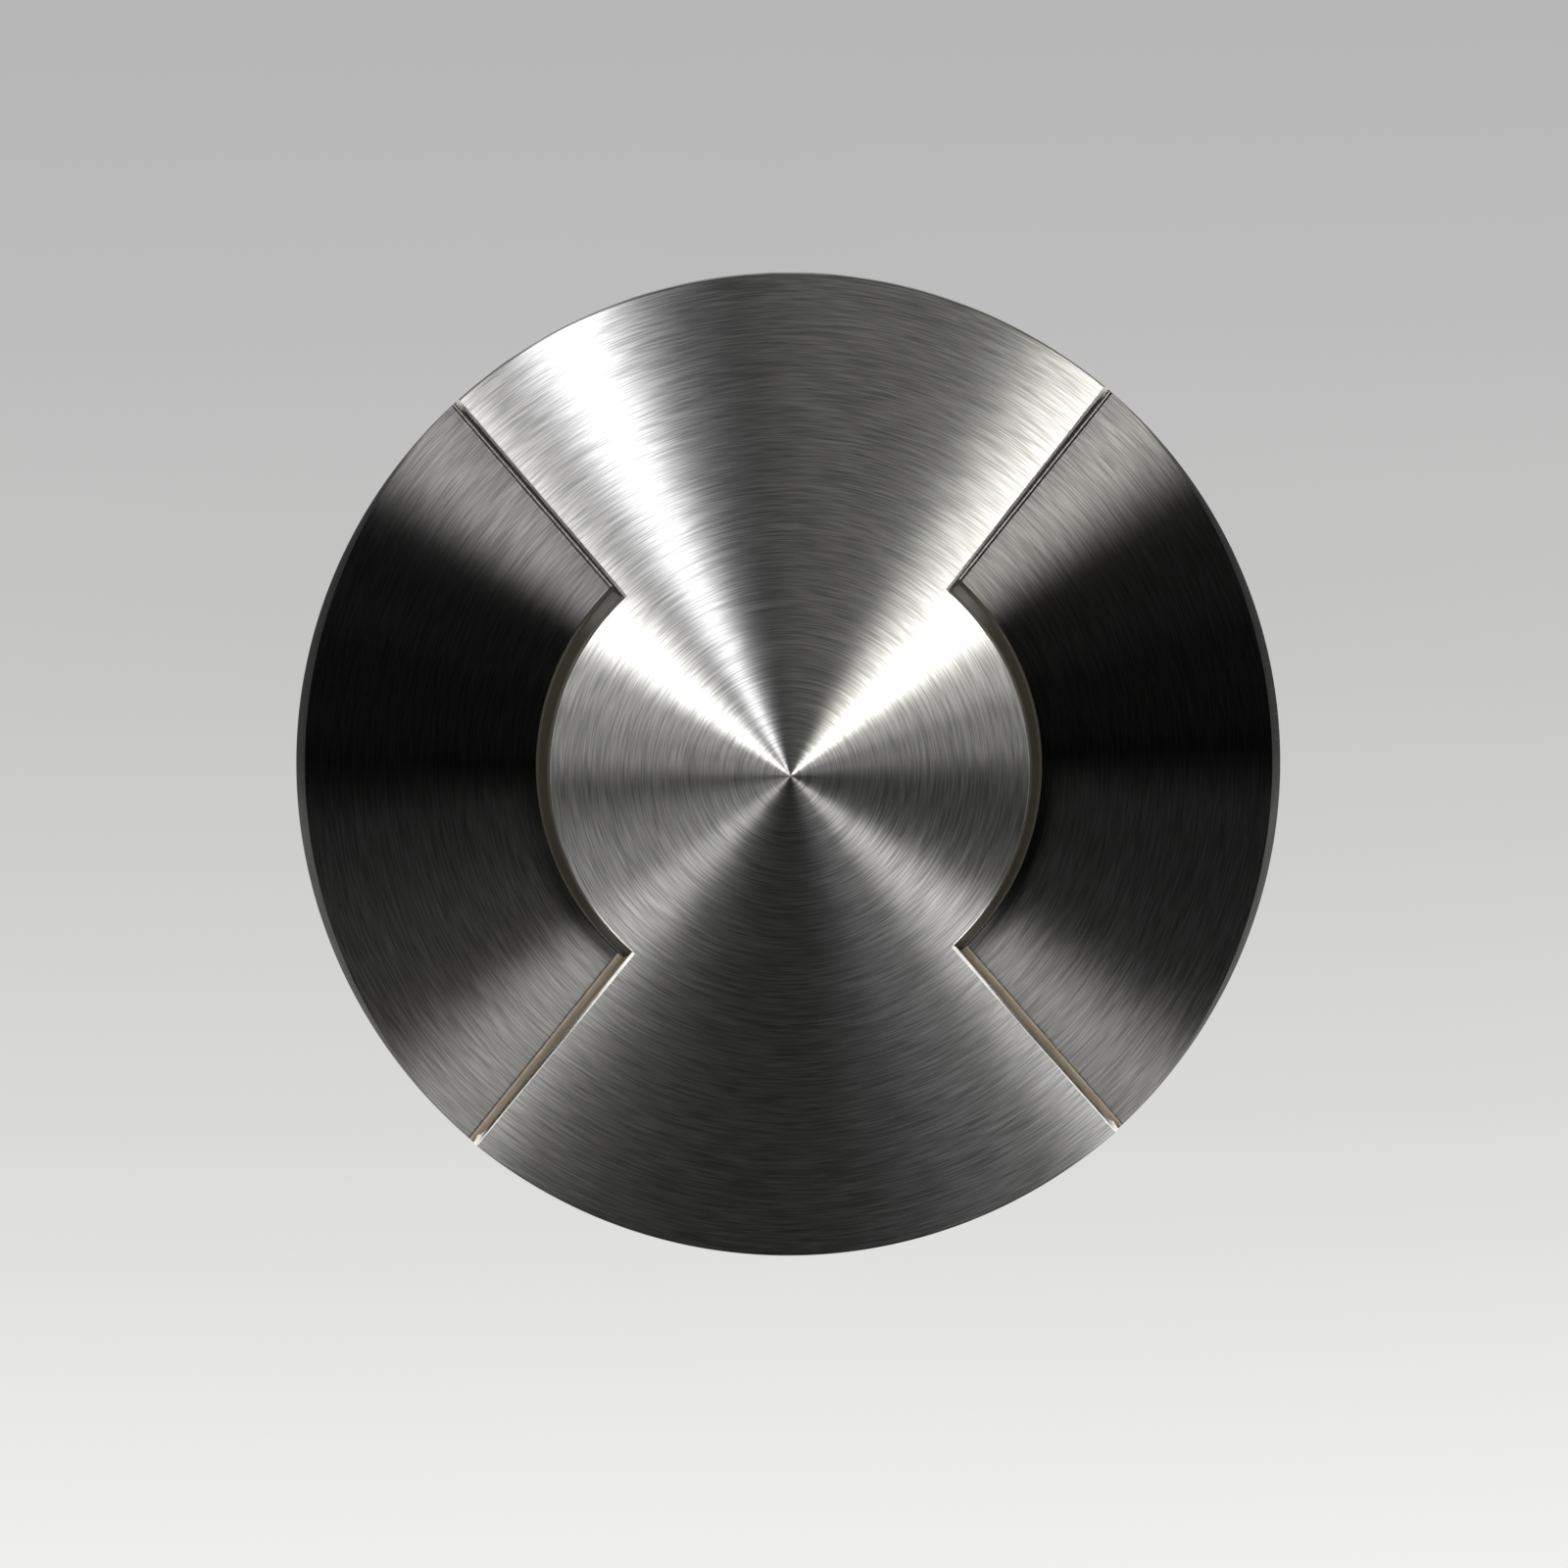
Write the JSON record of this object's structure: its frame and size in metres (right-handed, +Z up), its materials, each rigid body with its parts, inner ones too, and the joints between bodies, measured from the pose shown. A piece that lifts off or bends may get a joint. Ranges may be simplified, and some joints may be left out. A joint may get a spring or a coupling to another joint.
{
  "type": "drive-over ground light",
  "caption": "Round in-ground light with a bow-tie steel cover, two curved side windows and a plastic installation sleeve with sprung retaining levers.",
  "frame": {"origin": "centre of the sleeve's flat base", "axes": "+Z up along the light's axis, the two windows look along -X and +X, the cover's high arms lie along +Y and -Y"},
  "size_m": [0.13, 0.13, 0.1206],
  "materials": {
    "turned_stainless_steel": "circularly brushed, satin",
    "screw_steel": "plain stainless, satin",
    "spring_steel": "rolled spring steel, dull",
    "window_glass": "smoke-toned, clear",
    "black_rubber": "matt",
    "cast_aluminium": "turned casting, satin",
    "machined_aluminium": "fine-turned",
    "white_board": "white solder resist",
    "led_phosphor": "yellow phosphor under clear resin",
    "mirror_plastic": "metallised mirror finish",
    "driver_potting": "matt potting",
    "terminal_plastic": "natural polyamide",
    "gland_nylon": "moulded, satin",
    "ring_nylon": "glass-filled, satin",
    "sleeve_plastic": "moulded, matt",
    "lead_red": "extruded insulation",
    "lead_black": "extruded insulation"
  },
  "bodies": {
    "sleeve": {"installation_sleeve": "sleeve_plastic", "cable_chamber": "sleeve_plastic", "conduit_socket_left": "sleeve_plastic", "conduit_socket_right": "sleeve_plastic", "seat_gasket": "black_rubber"},
    "ring": {"spring_ring": "ring_nylon", "lever_pin_1": "screw_steel", "lever_pin_2": "screw_steel", "lever_pin_3": "screw_steel", "lever_spring_1": "spring_steel", "lever_spring_2": "spring_steel", "lever_spring_3": "spring_steel"},
    "lever_1": {"retaining_lever_1": "spring_steel"},
    "lever_2": {"retaining_lever_2": "spring_steel"},
    "lever_3": {"retaining_lever_3": "spring_steel"},
    "luminaire": {"base_plate": "cast_aluminium", "base_screw_1": "screw_steel", "base_screw_2": "screw_steel", "base_screw_3": "screw_steel", "base_screw_4": "screw_steel", "base_seal": "black_rubber", "blanking_plug": "gland_nylon", "board_lead_black": "lead_black", "board_lead_red": "lead_red", "circlip": "spring_steel", "cover": "turned_stainless_steel", "cover_screw_1": "screw_steel", "cover_screw_2": "screw_steel", "cover_screw_3": "screw_steel", "cover_screw_4": "screw_steel", "cover_seal": "black_rubber", "driver": "driver_potting", "driver_screw_1": "screw_steel", "driver_screw_2": "screw_steel", "engine_screw_1": "screw_steel", "engine_screw_2": "screw_steel", "gland_body": "gland_nylon", "gland_nut": "gland_nylon", "gland_seal": "black_rubber", "gland_washer": "black_rubber", "housing": "cast_aluminium", "led_board": "white_board", "led_carrier": "machined_aluminium", "led_left_1": "led_phosphor", "led_left_2": "led_phosphor", "led_left_3": "led_phosphor", "led_left_4": "led_phosphor", "led_right_1": "led_phosphor", "led_right_2": "led_phosphor", "led_right_3": "led_phosphor", "led_right_4": "led_phosphor", "plug_washer": "black_rubber", "pressure_vent": "gland_nylon", "reflector": "mirror_plastic", "terminal_block": "terminal_plastic", "window_left": "window_glass", "window_right": "window_glass", "window_seal_left": "black_rubber", "window_seal_right": "black_rubber"}
  },
  "joints": [
    {"name": "lift_out", "type": "slide", "parent": "sleeve", "child": "ring", "axis": [0, 0, 1], "range_m": [0, 0.095]},
    {"name": "turn", "type": "hinge", "parent": "ring", "child": "luminaire", "pos_m": [0, 0, 0.092], "axis": [0, 0, 1], "range_deg": [-180, 180]},
    {"name": "lever_swing_1", "type": "hinge", "parent": "ring", "child": "lever_1", "pos_m": [0, 0.0424, 0.092], "axis": [-1, 0, 0], "range_deg": [0, 12], "stiffness_Nm_per_rad": 0.05, "springref_deg": -20.05, "deforming": ["lever_spring_1"]},
    {"name": "lever_swing_2", "type": "hinge", "parent": "ring", "child": "lever_2", "pos_m": [-0.03672, -0.0212, 0.092], "axis": [0.5, -0.866, 0], "range_deg": [0, 12], "stiffness_Nm_per_rad": 0.05, "springref_deg": -20.05, "deforming": ["lever_spring_2"]},
    {"name": "lever_swing_3", "type": "hinge", "parent": "ring", "child": "lever_3", "pos_m": [0.03672, -0.0212, 0.092], "axis": [0.5, 0.866, 0], "range_deg": [0, 12], "stiffness_Nm_per_rad": 0.05, "springref_deg": -20.05, "deforming": ["lever_spring_3"]}
  ]
}
